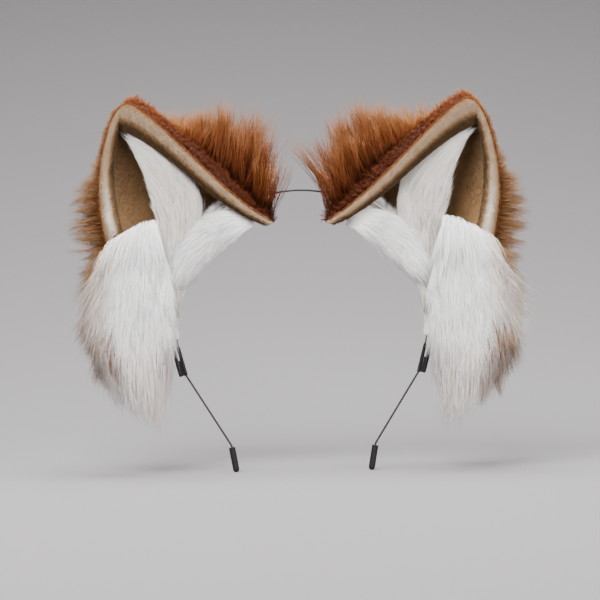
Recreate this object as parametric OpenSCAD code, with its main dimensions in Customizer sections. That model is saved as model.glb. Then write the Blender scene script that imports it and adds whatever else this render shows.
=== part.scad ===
// Headband with a pair of furry animal ears on a thin spring-wire hoop.
// Left and right are as seen from the front, and the front faces -Y. The origin is the centre of the hoop.
// Each ear is a set of cloth, foam and fur layers that all follow one curved surface.

/* [Hoop] */
// Radius of the hoop, at the middle of its wire
hoop_r = 70; // [64:0.5:76]
// Diameter of the hoop wire and the leg wires
wire_d = 1.1; // [0.8:0.1:1.4]
// How far each end of the hoop reaches below its centre, in degrees
hoop_drop = 15; // [12:1:18]

/* [Clamps] */
// Length of the black clamp between the hoop and a leg
clamp_len = 13.5; // [12:0.5:16]
// Distance between the two prongs of a clamp
prong_gap = 2.9; // [2.6:0.1:3.4]
// Diameter of each prong
prong_d = 2; // [1.8:0.1:2.4]

/* [Legs] */
// Length of the straight part of a leg wire
leg_len = 46; // [38:1:54]
// Lean of a leg from the vertical, in degrees
leg_lean = 32; // [26:1:38]
// Length of a rubber tip
tip_len = 15; // [12:0.5:18]
// Diameter of a rubber tip
tip_d = 3.5; // [3:0.1:4.5]
// Lean of a rubber tip from the vertical, in degrees
tip_lean = 10; // [6:1:16]

/* [Ear outline] */
// Distance of each ear's tip from the middle of the headband
ear_tip_x = 97.5; // [92:0.5:102]
// Height of each ear's tip above the hoop's centre
ear_tip_z = 121.5; // [114:0.5:128]
// How far the outer edge of an ear bows outwards
outer_bow = 42; // [36:1:46]
// How far the back of an ear stands behind its front edge
ear_depth = 50; // [44:1:54]

/* [Ear layers] */
// Thickness of the fur backing cloth
cover_t = 1.2; // [0.8:0.1:1.4]
// Thickness of the foam that holds the ear's shape
foam_t = 2; // [1.4:0.1:2.4]
// Thickness of the plush lining
lining_t = 0.9; // [0.6:0.1:1]
// Thickness of the plush edging
rim_t = 3.2; // [2.6:0.1:3.4]
// Diameter of the soft wire inside the edge
rim_wire_d = 1; // [0.8:0.1:1.2]

/* [Fur] */
// Depth of the long fur on the back and crown side
long_pile = 15; // [10:1:18]
// Depth of the fur on the outer side
side_pile = 13; // [8:1:15]
// Thickness of the white fur in front of the hoop
white_pile = 12; // [8:1:13]

/* [Hidden] */
$fn = 48;

wire_black = "#3a3838";
rubber_black = "#232222";
felt_white = "#d8d4cc";
thread_white = "#eeeae2";
foam_grey = "#8d8a86";
fur_brown = "#8c4b20";
fur_orange = "#b5652b";
fur_tan = "#a97a50";
plush_tan = "#c0a684";
lining_brown = "#70563a";
fur_white = "#efedea";

running_gap = 0.06;    // between a wire and the hole it runs in
clear = 0.3;           // between soft layers
step = 0.004;          // for finding the direction of a surface

// ---- Points, curves and vectors ----

function unit(v) = v / norm(v);
function mix(a, b, t) = a + (b - a) * t;
function curve2(a, b, c, t) = mix(mix(a, b, t), mix(b, c, t), t);
function curve3(a, b, c, d, t) = mix(curve2(a, b, c, t), curve2(b, c, d, t), t);
function on_hoop(radius, angle, y = 0) = [radius * cos(angle), y, radius * sin(angle)];
function ease(from, to, t) = let (x = max(0, min(1, (t - from) / (to - from)))) x * x * (3 - 2 * x);
function hump(t) = sqrt(max(0, 1 - pow(2 * t - 1, 2)));

// ---- Solids made from two facing surfaces ----

// A closed solid between two surfaces, each a function of u and v from 0 to 1.
// The top lies on the side that the cross product of the u and v directions points to.
module between(top, bottom, nu, nv) {
    row = nv + 1;
    layer = (nu + 1) * row;
    function at(i, j, side) = side * layer + i * row + j;
    function quad(a, b, c, d) = [[a, b, c], [a, c, d]];
    points = [
        for (skin = [top, bottom], i = [0:nu], j = [0:nv]) skin(i / nu, j / nv)
    ];
    faces = [
        for (i = [0:nu - 1], j = [0:nv - 1]) each concat(
            quad(at(i, j, 0), at(i, j + 1, 0), at(i + 1, j + 1, 0), at(i + 1, j, 0)),
            quad(at(i, j, 1), at(i + 1, j, 1), at(i + 1, j + 1, 1), at(i, j + 1, 1))
        ),
        for (j = [0:nv - 1]) each concat(
            quad(at(0, j + 1, 0), at(0, j, 0), at(0, j, 1), at(0, j + 1, 1)),
            quad(at(nu, j, 0), at(nu, j + 1, 0), at(nu, j + 1, 1), at(nu, j, 1))
        ),
        for (i = [0:nu - 1]) each concat(
            quad(at(i, 0, 0), at(i + 1, 0, 0), at(i + 1, 0, 1), at(i, 0, 1)),
            quad(at(i + 1, nv, 0), at(i, nv, 0), at(i, nv, 1), at(i + 1, nv, 1))
        )
    ];
    polyhedron(points, faces);
}

// A flat-backed tongue of fur along a curve in the XZ plane. The middle line runs upwards or outwards
// in v, and half_width and the front and back surfaces' Y are functions of v.
module tongue(middle, half_width, front_y, back_y, nu = 8, nv = 14) {
    function across(v) = let (
        along = unit(middle(min(1, v + step)) - middle(max(0, v - step)))
    ) [along[1], -along[0]];
    function flat(u, v) = middle(v) + across(v) * half_width(v) * (2 * u - 1);
    function deep(u, v, y) = let (p = flat(u, v)) [p[0], y, p[1]];
    front = function (u, v) deep(u, v, mix(back_y(v) - 1, front_y(v), hump(0.06 + 0.88 * u)));
    back = function (u, v) deep(u, v, back_y(v));
    between(front, back, nu, nv);
}

// A round rod from one point to another with hemispherical ends.
module rod(from, to, d, round_start = true, round_end = true) {
    way = to - from;
    lean = acos(way[2] / norm(way));
    turn = atan2(way[1], way[0]);
    translate(from) rotate([0, lean, turn]) cylinder(d = d, h = norm(way));
    if (round_start) translate(from) sphere(d = d);
    if (round_end) translate(to) sphere(d = d);
}

// Turns a shape made round Z so that it goes round Y, with angles from +X towards +Z.
module round_y() {
    rotate([90, 0, 0]) children();
}

// Every piece is written for the right side.
module left() {
    mirror([1, 0, 0]) children();
}

// ---- Headband ----

module hoop_wire() {
    color(wire_black) round_y()
        rotate_extrude(angle = 180 + 2 * hoop_drop, start = -hoop_drop, $fn = 96)
            translate([hoop_r, 0]) circle(d = wire_d, $fn = 24);
}

// The clamp goes straight on from the end of the hoop.
hoop_end = on_hoop(hoop_r, -hoop_drop);
clamp_grip = 2.5;      // length of wire inside the top of a clamp
clamp_way = [-sin(hoop_drop), 0, -cos(hoop_drop)];
clamp_out = [cos(hoop_drop), 0, -sin(hoop_drop)];
leg_start = hoop_end + clamp_way * clamp_len;
leg_way = [-sin(leg_lean), 0, -cos(leg_lean)];
leg_bend = leg_start + leg_way * leg_len;
tip_way = [-sin(tip_lean), 0, -cos(tip_lean)];
tip_wire_len = tip_len * 0.6;
tip_end = leg_bend + tip_way * (tip_len - tip_d / 2);

// U-shaped clamp: the inner prong joins the wires and the outer prong is its folded tail.
// A thin web joins the prongs over the lower part of the clamp.
module end_clamp() {
    socket_d = wire_d + 4 * running_gap;
    web_from = 0.45;
    web_t = prong_d * 0.7;
    web_short = 0.2;
    cut = 1;
    prong_top = hoop_end - clamp_way * clamp_grip;
    outer_top = prong_top + clamp_out * prong_gap + clamp_way * prong_d;
    outer_end = leg_start + clamp_out * prong_gap - clamp_way * (prong_d / 2);
    web_start = mix(prong_top, leg_start, web_from);
    color(rubber_black) difference() {
        union() {
            rod(prong_top, leg_start, prong_d, false, false);
            rod(outer_top, outer_end, prong_d);
            translate(web_start) rotate([0, 180 + hoop_drop, 0])
                translate([-prong_gap, -web_t / 2, 0])
                    cube([prong_gap, web_t, norm(leg_start - web_start) - web_short]);
        }
        translate(leg_start) sphere(d = socket_d);
        translate(prong_top) rotate([0, 180 + hoop_drop, 0])
            translate([0, 0, -cut]) cylinder(d = socket_d, h = clamp_grip + cut + running_gap);
    }
}

// The leg's round top sits in the clamp's socket, and its bent end goes into the rubber tip.
module leg_wire() {
    color(wire_black) {
        rod(leg_start, leg_bend, wire_d);
        rod(leg_bend, leg_bend + tip_way * tip_wire_len, wire_d, false);
    }
}

module rubber_tip() {
    bare_wire = 1.2;
    mouth = leg_bend + tip_way * bare_wire;
    color(rubber_black) difference() {
        rod(mouth, tip_end, tip_d, false);
        rod(leg_bend, leg_bend + tip_way * tip_wire_len, wire_d, false);
    }
}

// ---- Ear carrier: the sleeve on the hoop ----

sleeve_from = -9;
sleeve_to = 66;
sleeve_deep = 8;       // front to back
sleeve_high = 4;       // away from the head
stitch_t = 0.4;
stitch_count = 15;

// Outline of the sleeve where the hoop passes through it.
module sleeve_outline(grow = 0) {
    corner_r = 1.4;
    r = corner_r + grow;
    w = sleeve_high + 2 * grow;
    h = sleeve_deep + 2 * grow;
    square([w - 2 * r, h], center = true);
    square([w, h - 2 * r], center = true);
    for (x = [-1, 1], y = [-1, 1]) translate([x * (w / 2 - r), y * (h / 2 - r)]) circle(r, $fn = 24);
}

module base_sleeve() {
    color(felt_white) round_y()
        rotate_extrude(angle = sleeve_to - sleeve_from, start = sleeve_from, $fn = 96)
            translate([hoop_r, 0]) difference() {
                sleeve_outline();
                circle(d = wire_d + 2 * running_gap, $fn = 24);
            }
}

module sleeve_stitches() {
    sleeve_gap = 0.05;
    pitch = (sleeve_to - sleeve_from) / stitch_count;
    color(thread_white) for (k = [0:stitch_count - 1])
        rotate([0, -(sleeve_from + (k + 0.5) * pitch), 0]) translate([hoop_r, 0, 0])
            linear_extrude(stitch_t, center = true) difference() {
                sleeve_outline(sleeve_gap + stitch_t);
                sleeve_outline(sleeve_gap);
            }
}

// ---- Ear shape ----

ear_tip = [ear_tip_x, -4, ear_tip_z];
inner_corner = [14, -20, 51.5];
outer_corner = [78, -8, -12];
outer_pull = [mix(outer_corner[0], ear_tip_x, 0.5) + outer_bow, -10, 55];

// The inner edge runs from the inner corner to the tip, and the outer edge from the outer corner.
function inner_edge(v) = curve3(inner_corner, [45, -21, 68], [75, -13, 112], ear_tip, v);
function outer_edge(v) = curve2(outer_corner, outer_pull, ear_tip, v);

// The base runs on the head side of the ear, from the inner corner over the hoop to the outer corner.
base_r = 75.5;
corner_drop = base_r - norm([inner_corner[0], inner_corner[2]]);
base_from = 75;
base_to = -9;
function base_line(u) = let (
    angle = mix(base_from, base_to, pow(u, 1.3)),
    radius = base_r - corner_drop * pow(max(0, 1 - u / 0.12), 1.5),
    front = mix(inner_corner[1], outer_corner[1], u)
) on_hoop(radius, angle, front + ear_depth * pow(sin(180 * u), 1.2));

// The back of the ear, from its inner edge at u = 0 to its outer edge at u = 1, and from the base to the tip.
set_back = 3.6;
function ear_back(u, v) = let (
    chord = mix(inner_edge(v), outer_edge(v), u),
    bulge = base_line(u) - mix(inner_corner, outer_corner, u)
) chord + bulge * pow(1 - v, 0.8) + [0, set_back, 0];

// The direction out of the back of the ear.
function ear_out(u, v) = let (
    a = max(0, u - step),
    b = min(1, u + step),
    c = max(0, v - step),
    d = min(1, v + step)
) -unit(cross(ear_back(b, v) - ear_back(a, v), ear_back(u, d) - ear_back(u, c)));

// Layers get thinner towards the tip, where the ear is narrow.
function narrow(v) = min(1, (1.02 - v) / 0.25);
function layer(u, v, out) = ear_back(u, v) + ear_out(u, v) * out * narrow(v);

// One layer over part of the back, with its inner and outer faces at two distances from the ear's surface.
module ear_layer(us, vs, near, far, nu, nv) {
    function pu(u) = mix(us[0], us[1], u);
    function pv(v) = mix(vs[0], vs[1], v);
    inside = function (u, v) layer(pu(u), pv(v), near(u, v));
    outside = function (u, v) layer(pu(u), pv(v), far(u, v));
    between(inside, outside, nu, nv);
}

tip_limit = 0.95;
cover_near = clear;
cover_far = cover_near + cover_t;
foam_far = -clear;
foam_near = foam_far - foam_t;
lining_far = foam_near - clear;
lining_near = lining_far - lining_t;
pile_near = cover_far + clear;

module back_cover() {
    color(fur_brown) ear_layer([0, 1], [0, tip_limit], function (u, v) cover_near,
        function (u, v) cover_far, 18, 10);
}

module foam_core() {
    color(foam_grey) ear_layer([0.13, 0.985], [0, tip_limit - 0.03], function (u, v) foam_near,
        function (u, v) foam_far, 14, 10);
}

module lining() {
    color(lining_brown) ear_layer([0.13, 0.965], [0, tip_limit - 0.06], function (u, v) lining_near,
        function (u, v) lining_far, 14, 10);
}

// Short curly pile on the strip beside the inner edge.
module edge_plush() {
    curl_high = 2.4;
    color(fur_brown) ear_layer([0.005, 0.09], [0.02, tip_limit], function (u, v) pile_near,
        function (u, v) pile_near + curl_high * mix(0.15, 1, hump(u)), 4, 14);
}

// Long fur on the crown side and the back.
module crown_fur() {
    color(fur_orange) ear_layer([0.105, 0.66], [0.01, 0.8], function (u, v) pile_near,
        function (u, v) pile_near + 1 + long_pile * pow(hump(0.05 + 0.9 * u), 0.8) * (1 - 0.8 * v * v),
        12, 9);
}

// Brown fur on the outer side.
module side_fur() {
    color(fur_tan) ear_layer([0.69, 0.985], [0.01, 0.72], function (u, v) pile_near,
        function (u, v) pile_near + 1 + side_pile * pow(hump(0.1 + 0.85 * u), 0.8) * (1 - 0.75 * v * v),
        8, 8);
}

// Floor of the ear, from just behind its front edge to just inside its back.
module base_panel() {
    panel_t = 1.2;
    front_y = -4.8;
    us = [0.22, 0.9];
    from_lining = 4 * clear;
    function around(u) = mix(us[0], us[1], u);
    function edge(u) = layer(around(u), 0, lining_near - from_lining);
    function back_y(u) = edge(u)[1] - 1;
    function angle(u) = let (p = edge(u)) atan2(p[2], p[0]);
    function floor_at(u, v, radius) = on_hoop(radius, angle(u), mix(front_y, back_y(u), v));
    top = function (u, v) floor_at(u, v, base_r - panel_t);
    bottom = function (u, v) floor_at(u, v, base_r);
    color(felt_white) between(bottom, top, 12, 4);
}

// ---- Ear edge ----

// The edging lies between the ear's outline and a smaller outline inside it.
// Along both, s runs from the inner corner to the tip at 0.5 and on to the outer corner.
// The tip is rounded from one edge to the other.
inner_tip = [99.5, 0, 105.5];
tip_round = 0.05;
function sharp_outline(s) = s <= 0.5 ? inner_edge(2 * s) : outer_edge(2 - 2 * s);
function outline(s) = abs(s - 0.5) > tip_round ? sharp_outline(s) : curve2(
    sharp_outline(0.5 - tip_round), ear_tip, sharp_outline(0.5 + tip_round),
    (s - 0.5 + tip_round) / (2 * tip_round)
);
function small_outline(s) = s <= 0.5
    ? curve3([18, -17.5, 50], [48, -18, 60], [68, -10, 92], inner_tip, 2 * s)
    : curve2([71, -7, -6], [110, -6.5, 50], inner_tip, 2 - 2 * s);

rim_back = rim_t * 0.35;       // how far the edging reaches behind the ear's outline
rim_front = rim_t * 0.3;       // how far it reaches in front of it at its sides
rim_roll = rim_t * 0.35;       // and how much further in the middle
module rim_binding() {
    function face(s, t, y) = mix(outline(s), small_outline(s), t) + [0, y, 0];
    front = function (u, v) face(u, v, -rim_front - rim_roll * hump(0.1 + 0.8 * v));
    back = function (u, v) face(u, v, rim_back);
    color(plush_tan) between(back, front, 36, 4);
}

// Soft wire behind the edging, as a tube with eight sides along the outline.
module rim_wire() {
    sides = 8;
    rings = 40;
    from = 0.015;
    to = 0.985;
    inwards = 0.28;
    function path(t) = mix(outline(mix(from, to, t)), small_outline(mix(from, to, t)), inwards)
        + [0, rim_back + clear + rim_wire_d / 2, 0];
    function along(t) = unit(path(min(1, t + step)) - path(max(0, t - step)));
    function ring_point(t, k) = let (
        a = unit(cross(along(t), [0, 1, 0])),
        b = cross(along(t), a),
        angle = 360 * k / sides
    ) path(t) + (a * cos(angle) + b * sin(angle)) * rim_wire_d / 2;
    points = [for (i = [0:rings], k = [0:sides - 1]) ring_point(i / rings, k)];
    faces = concat(
        [[for (k = [sides - 1:-1:0]) k]],
        [for (i = [0:rings - 1], k = [0:sides - 1]) let (
            a = i * sides + k,
            b = i * sides + (k + 1) % sides
        ) each [[a, b, b + sides], [a, b + sides, a + sides]]],
        [[for (k = [0:sides - 1]) rings * sides + k]]
    );
    color(wire_black) polyhedron(points, faces);
}

// ---- White fur ----

// Leaf-shaped tuft that rises from the hoop to just under the tip of the ear.
module inner_tuft() {
    middle = function (v) curve3([71, 8], [65, 47], [57, 70], [91, 98.5], v);
    half_width = function (v) curve3(5, 7, 23, 2, v);
    front_y = function (v) mix(-14.5, -4, v * v);
    back_y = function (v) mix(-6, 2, v * v);
    color(fur_white) tongue(middle, half_width, front_y, back_y);
}

// Band of fur along the front of the hoop, from the ear's inner corner.
module brow_fur() {
    middle = function (v) curve3([51, 41.5], [45, 46.5], [38, 52.5], [25, 50.7], v);
    half_width = function (v) curve2(7.5, 10, 1.2, v);
    front_y = function (v) mix(-16.5, -15, ease(0.1, 0.5, v));
    back_y = function (v) mix(-8, -11.5, v);
    color(fur_white) tongue(middle, half_width, front_y, back_y, 6, 8);
}

// Fur that hangs over the temple: flat in front of the ear's edge, and a full bunch below it.
module cheek_fur() {
    flat_back = -15.4;
    bunch_back = 8;
    middle = function (v) curve3([86, -52], [93, -14], [93, 20], [87, 52], v);
    half_width = function (v) curve2(8, 33, 9, v);
    back_y = function (v) mix(bunch_back, flat_back, ease(0.18, 0.36, v));
    front_y = function (v) flat_back - white_pile * (0.35 + 0.65 * hump(0.12 + 0.76 * v));
    color(fur_white) tongue(middle, half_width, front_y, back_y);
}

// ---- Assembly ----

hoop_wire();
left() end_clamp();  // left_end_clamp
end_clamp();  // right_end_clamp
left() leg_wire();  // left_leg_wire
leg_wire();  // right_leg_wire
left() rubber_tip();  // left_rubber_tip
rubber_tip();  // right_rubber_tip
left() base_sleeve();  // left_base_sleeve
base_sleeve();  // right_base_sleeve
left() sleeve_stitches();  // left_sleeve_stitches
sleeve_stitches();  // right_sleeve_stitches
left() base_panel();  // left_base_panel
base_panel();  // right_base_panel
left() foam_core();  // left_foam_core
foam_core();  // right_foam_core
left() back_cover();  // left_back_cover
back_cover();  // right_back_cover
left() lining();  // left_lining
lining();  // right_lining
left() rim_wire();  // left_rim_wire
rim_wire();  // right_rim_wire
left() rim_binding();  // left_rim_binding
rim_binding();  // right_rim_binding
left() edge_plush();  // left_edge_plush
edge_plush();  // right_edge_plush
left() crown_fur();  // left_crown_fur
crown_fur();  // right_crown_fur
left() side_fur();  // left_side_fur
side_fur();  // right_side_fur
left() inner_tuft();  // left_inner_tuft
inner_tuft();  // right_inner_tuft
left() brow_fur();  // left_brow_fur
brow_fur();  // right_brow_fur
left() cheek_fur();  // left_cheek_fur
cheek_fur();  // right_cheek_fur
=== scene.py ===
"""Looks of the headband with furry animal ears: cloth, plush and fur round the CAD frame.

The ear's curves are the same as in the CAD, in millimetres for the right ear, except that its cover
closes at the tip. The left ear is mirrored in X and grown with its own seeds. Every hair is a closed,
tapered, three-sided tube. Its UV map holds its tone across and the way from root to tip upwards.
"""
import math

import bpy
import numpy as np
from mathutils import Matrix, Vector


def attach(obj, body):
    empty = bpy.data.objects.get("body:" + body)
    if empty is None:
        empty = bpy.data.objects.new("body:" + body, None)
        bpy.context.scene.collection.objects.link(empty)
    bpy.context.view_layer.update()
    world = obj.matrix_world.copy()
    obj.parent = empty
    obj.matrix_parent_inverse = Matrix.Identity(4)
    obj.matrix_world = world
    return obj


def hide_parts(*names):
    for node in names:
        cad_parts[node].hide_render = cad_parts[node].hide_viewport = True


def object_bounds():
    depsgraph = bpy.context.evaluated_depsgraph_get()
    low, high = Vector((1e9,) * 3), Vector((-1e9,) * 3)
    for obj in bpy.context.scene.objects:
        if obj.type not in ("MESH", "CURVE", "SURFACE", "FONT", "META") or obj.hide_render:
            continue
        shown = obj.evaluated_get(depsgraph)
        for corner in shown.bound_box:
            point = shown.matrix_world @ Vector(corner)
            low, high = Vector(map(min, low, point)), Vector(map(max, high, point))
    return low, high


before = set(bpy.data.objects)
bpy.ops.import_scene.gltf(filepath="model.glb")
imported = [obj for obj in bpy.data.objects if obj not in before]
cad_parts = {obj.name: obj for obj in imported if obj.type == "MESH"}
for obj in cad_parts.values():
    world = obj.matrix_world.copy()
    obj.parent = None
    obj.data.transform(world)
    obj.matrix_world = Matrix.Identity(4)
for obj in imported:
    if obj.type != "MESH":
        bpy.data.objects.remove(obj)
cad_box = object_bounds()

MM = 0.001
HAIR_UV = "OFBake"
TONE = "tone"
NUDGE = 0.004  # a small step in u or v, for slopes
HAIR_SIDES = 3
HAIR_STEPS, PLAIN_STEPS, PILE_STEPS = 5, 4, 3  # points along long, undercoat and pile hairs

# ---- Vectors and curves, on arrays whose last axis is X, Y, Z ----


def point(*xyz):
    return np.array(xyz, float)


def col(values):
    """Values as a column, to multiply points."""
    return np.asarray(values, float)[..., None]


def unit(v):
    return v / np.maximum(np.linalg.norm(v, axis=-1, keepdims=True), 1e-9)


def mix(a, b, t):
    return a + (b - a) * t


def curve2(a, b, c, t):
    return mix(mix(a, b, t), mix(b, c, t), t)


def curve3(a, b, c, d, t):
    return mix(curve2(a, b, c, t), curve2(b, c, d, t), t)


def ease(start, end, t):
    x = np.clip((t - start) / (end - start), 0, 1)
    return x * x * (3 - 2 * x)


def hump(t):
    return np.sqrt(np.maximum(0, 1 - (2 * t - 1) ** 2))


def on_hoop(radius, degrees, y=0.0):
    a = np.radians(degrees)
    return np.stack([radius * np.cos(a), y + 0 * a, radius * np.sin(a)], -1)


# ---- The ear's surface, as in the CAD ----

HOOP_R = 70.0
EAR_TIP = point(97.5, -4, 121.5)
INNER_CORNER = point(14, -20, 51.5)
OUTER_CORNER = point(78, -8, -12)
OUTER_PULL = point(129.75, -10, 55)
INNER_TIP = point(99.5, 0, 105.5)
TIP_ROUND = 0.05
BASE_R = 75.5
BASE_FROM, BASE_TO = 75.0, -9.0
EAR_DEPTH = 50.0
SET_BACK = 3.6
RIM_T = 3.2
COVER_NEAR, COVER_FAR = 0.3, 1.5
FOAM_NEAR, FOAM_FAR = -2.3, -0.3
LINING_NEAR, LINING_FAR = -3.5, -2.6
TIP_CLOSES, TIP_LIMIT = 0.86, 0.95


def inner_edge(v):
    return curve3(INNER_CORNER, point(45, -21, 68), point(75, -13, 112), EAR_TIP, col(v))


def outer_edge(v):
    return curve2(OUTER_CORNER, OUTER_PULL, EAR_TIP, col(v))


def base_line(u):
    corner_drop = BASE_R - math.hypot(INNER_CORNER[0], INNER_CORNER[2])
    radius = BASE_R - corner_drop * np.maximum(0, 1 - u / 0.12) ** 1.5
    front = mix(INNER_CORNER[1], OUTER_CORNER[1], u)
    back = EAR_DEPTH * np.maximum(0, np.sin(np.pi * u)) ** 1.2
    return on_hoop(radius, mix(BASE_FROM, BASE_TO, np.maximum(u, 0) ** 1.3), front + back)


def ear_back(u, v):
    chord = mix(inner_edge(v), outer_edge(v), col(u))
    bulge = base_line(u) - mix(INNER_CORNER, OUTER_CORNER, col(u))
    return chord + bulge * col(np.maximum(0, 1 - v) ** 0.8) + point(0, SET_BACK, 0)


def ear_out(u, v):
    across = ear_back(np.clip(u + NUDGE, 0, 1), v) - ear_back(np.clip(u - NUDGE, 0, 1), v)
    up = ear_back(u, np.clip(v + NUDGE, 0, 1)) - ear_back(u, np.clip(v - NUDGE, 0, 1))
    return -unit(np.cross(across, up))


def layer(u, v, out):
    """A surface so far outside the ear's, or inside where out is negative; it thins towards the tip."""
    return ear_back(u, v) + ear_out(u, v) * col(out * np.minimum(1, (1.02 - v) / 0.25))


def outline(s):
    """Round the ear's edge from the inner corner, over the rounded tip at 0.5, to the outer corner."""
    sharp = np.where(col(s) <= 0.5, inner_edge(2 * s), outer_edge(2 - 2 * s))
    across = (s - 0.5 + TIP_ROUND) / (2 * TIP_ROUND)
    start, end = np.array(0.5 - TIP_ROUND), np.array(0.5 + TIP_ROUND)
    tip = curve2(inner_edge(2 * start), EAR_TIP, outer_edge(2 - 2 * end), col(across))
    return np.where(col(np.abs(s - 0.5)) > TIP_ROUND, sharp, tip)


def small_outline(s):
    """The edging's inner outline, from corner to corner as in outline."""
    inner = curve3(point(18, -17.5, 50), point(48, -18, 60), point(68, -10, 92), INNER_TIP, col(2 * s))
    outer = curve2(point(71, -7, -6), point(110, -6.5, 50), INNER_TIP, col(2 - 2 * s))
    return np.where(col(s) <= 0.5, inner, outer)


def rim_face(s, t, out=0.0):
    """The front of the edging: s runs round the ear and t from its outer to its inner outline."""
    bulge = RIM_T * (0.2 + 0.6 * hump(0.05 + 0.9 * t) - 0.6 * ease(0.5, 1, t)) + out
    return mix(outline(s), small_outline(s), col(t)) - point(0, 1, 0) * col(bulge)


def cover(u, v, out):
    """The ear's cover. Near the top it bends forward, to meet the rounded tip of the edging."""
    rounded = outline(0.5 + TIP_ROUND * (np.clip(u, 0, 1) - 0.5))
    tip = rounded + point(0, 1, 0) * col(SET_BACK + out)
    return mix(layer(u, v, out), tip, col(ease(TIP_CLOSES, TIP_LIMIT, v)))


def cover_top(u, v):
    return cover(u, v, COVER_FAR)


# ---- White fur tongues: u runs across, v along, and w from the back to the front ----


class Tongue:
    """A strip of fur along a curve in the X Z plane, with a rounded front and a flat back."""

    def __init__(self, middle, half_width, front_y, back_y):
        self.middle, self.half_width = middle, half_width
        self.front_y, self.back_y = front_y, back_y

    def line(self, v):
        return curve3(*[point(x, 0, z) for x, z in self.middle], col(v))

    def along(self, v):
        return unit(self.line(v + 0.01) - self.line(v - 0.01))

    def across(self, v):
        return np.cross(point(0, 1, 0), self.along(v))

    def at(self, u, v, w):
        width = np.maximum(0.6, self.half_width(v))
        back = self.back_y(v)
        y = mix(back, mix(back - 1, self.front_y(v), hump(np.clip(0.06 + 0.88 * u, 0, 1))), w)
        flat = self.line(v) + self.across(v) * col(width * (2 * u - 1))
        return flat + point(0, 1, 0) * col(y)


TUFT = Tongue(
    [(71, 8), (65, 47), (57, 70), (91, 98.5)],
    lambda v: curve3(5, 7, 23, 2, v),
    lambda v: mix(-14.5, -4, v * v),
    lambda v: mix(-6, 2, v * v),
)
BROW = Tongue(
    [(64, 29), (54, 43), (42, 53), (25, 53)],
    lambda v: curve2(7, 11, 3, v),
    lambda v: mix(-16.5, -15, ease(0.1, 0.5, v)),
    lambda v: mix(-8, -11.5, v),
)
CHEEK_BACK = -15.4
CHEEK = Tongue(
    [(86, -52), (93, -14), (93, 20), (87, 53)],
    lambda v: np.maximum(5, curve2(9, 33, 9, np.minimum(v, 1))),
    lambda v: CHEEK_BACK - 12 * (0.35 + 0.65 * hump(np.clip(0.12 + 0.76 * v, 0, 1))),
    lambda v: mix(8, CHEEK_BACK, ease(0.18, 0.36, v)),
)

# ---- Meshes ----


def new_object(name, points, loops, starts, side, body, material):
    """A mesh object from points in millimetres for the right side, mirrored for the left."""
    points = np.array(points, float).reshape(-1, 3) * MM
    loops, starts = np.asarray(loops, np.int32), np.asarray(starts, np.int32)
    if side == "left":
        points[:, 0] *= -1
    mesh = bpy.data.meshes.new(name)
    mesh.vertices.add(len(points))
    mesh.vertices.foreach_set("co", points.astype(np.float32).ravel())
    mesh.loops.add(len(loops))
    mesh.loops.foreach_set("vertex_index", loops)
    mesh.polygons.add(len(starts))
    mesh.polygons.foreach_set("loop_start", starts)
    mesh.update(calc_edges=True)
    if side == "left":
        mesh.flip_normals()
    mesh.shade_smooth()
    mesh.materials.append(material)
    obj = bpy.data.objects.new(name, mesh)
    bpy.context.scene.collection.objects.link(obj)
    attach(obj, body)
    return obj


def grid_faces(rows, columns, wrap_rows=False, wrap_columns=False):
    """Quads over a grid of points that are stored row by row."""
    i = np.arange(rows if wrap_rows else rows - 1)
    j = np.arange(columns if wrap_columns else columns - 1)
    i, j = np.meshgrid(i, j, indexing="ij")
    a, b = i * columns + j, i * columns + (j + 1) % columns
    c, d = (i + 1) % rows * columns + (j + 1) % columns, (i + 1) % rows * columns + j
    return np.stack([a, b, c, d], -1).reshape(-1, 4)


def slab(name, side, body, material, section, count):
    """A closed sheet with rounded long edges. section(t, k) gives the points of the ring at t, with k
    running round it from 0 to 1; the rings at both ends are closed with a face each."""
    rows, columns = count
    points = section(*slab_grid(count))
    quads = grid_faces(rows, columns, wrap_columns=True)
    caps = [np.arange(columns)[::-1], np.arange(columns) + (rows - 1) * columns]
    loops = np.concatenate([quads.ravel(), *caps])
    starts = np.concatenate([np.arange(len(quads)) * 4, quads.size + np.arange(2) * columns])
    obj = new_object(name, points, loops, starts, side, body, material)
    fix_normals(obj.data)
    return obj


def set_tone(obj, tones):
    """Gives each vertex of a mesh a number for its toned cloth."""
    obj.data.attributes.new(TONE, "FLOAT", "POINT").data.foreach_set("value", tones.astype(np.float32))


def slab_grid(count):
    """The t and k of each point of a slab."""
    rows, columns = count
    t, k = np.meshgrid(np.linspace(0, 1, rows), np.arange(columns) / columns, indexing="ij")
    return t.ravel(), k.ravel()


def fix_normals(mesh):
    """Turns a closed mesh's faces outwards."""
    co = np.zeros(len(mesh.vertices) * 3)
    mesh.vertices.foreach_get("co", co)
    co = co.reshape(-1, 3)
    volume = 0.0
    for face in mesh.polygons:
        corners = co[list(face.vertices)]
        for i in range(1, len(corners) - 1):
            volume += np.dot(corners[0], np.cross(corners[i], corners[i + 1]))
    if volume < 0:
        mesh.flip_normals()


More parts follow.
